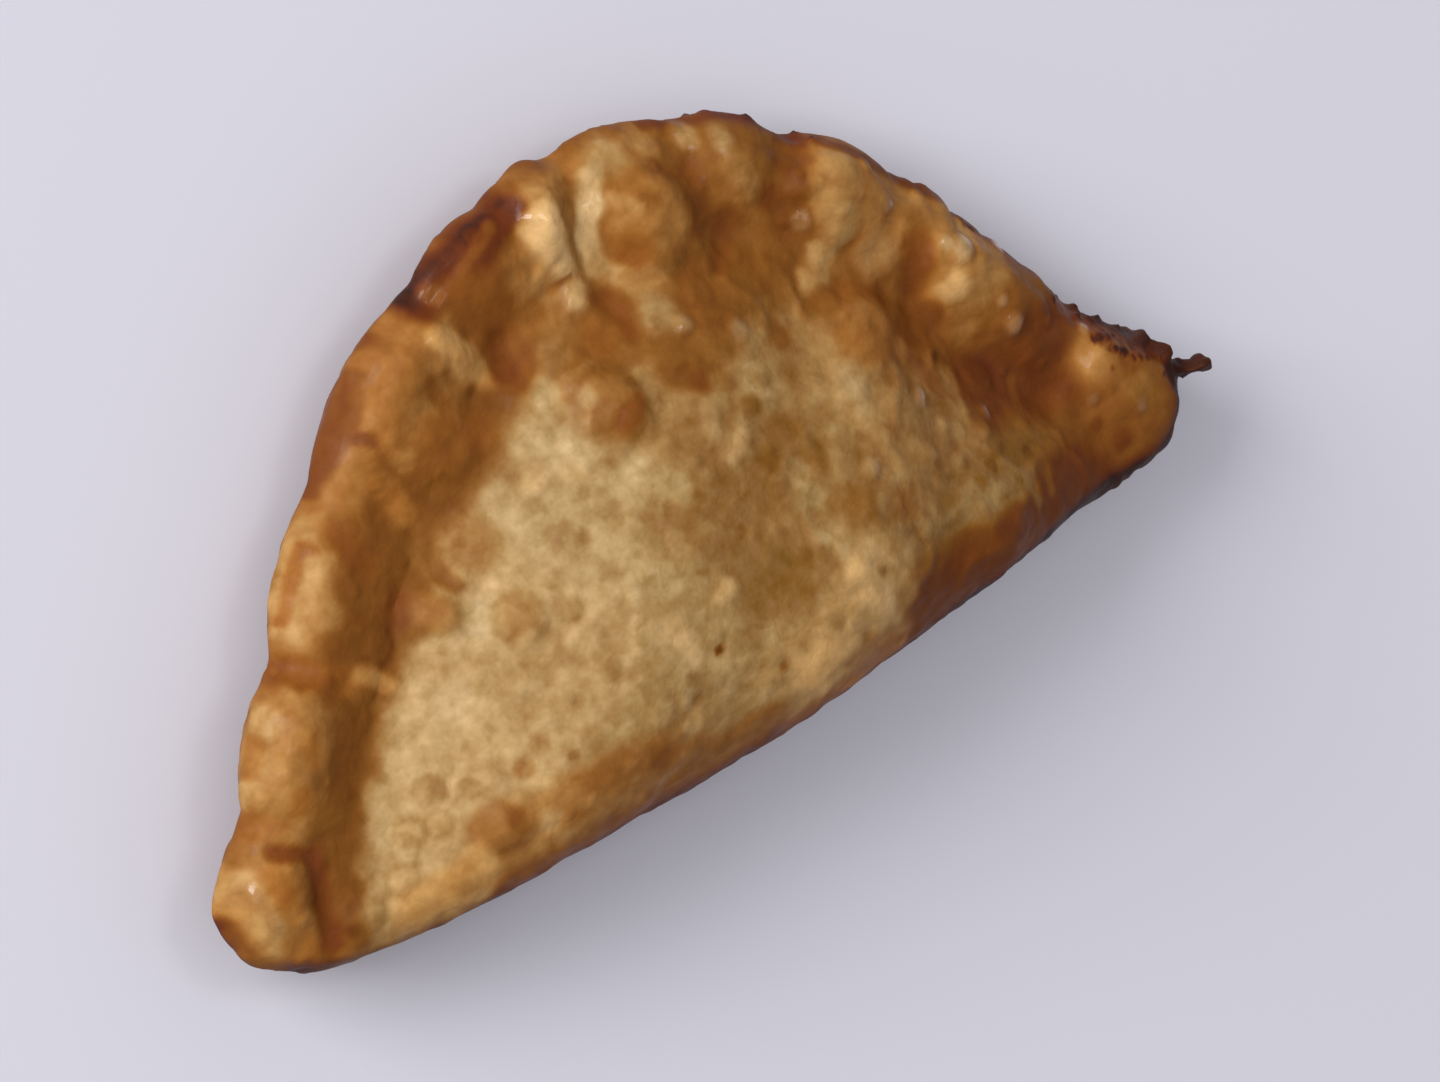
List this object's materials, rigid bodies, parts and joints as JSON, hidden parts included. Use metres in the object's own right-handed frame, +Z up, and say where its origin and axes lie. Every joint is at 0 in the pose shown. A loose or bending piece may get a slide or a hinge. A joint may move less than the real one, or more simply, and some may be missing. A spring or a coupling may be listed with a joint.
{
  "type": "fried pastry turnover",
  "caption": "Half-moon fried pastry turnover with a puffed finger-crimped rim, a rounded fold and a blistered golden-brown crust, lying on its back.",
  "frame": {"origin": "middle of the pastry's bounding box in plan, on the surface that it lies on", "axes": "+X along the fold towards the burnt corner, +Y from the fold towards the crimped arc, +Z up out of the shown side"},
  "size_m": [0.135, 0.0678, 0.0261],
  "materials": {
    "crust": null
  },
  "bodies": {
    "root": {"pastry": "crust"}
  },
  "joints": []
}
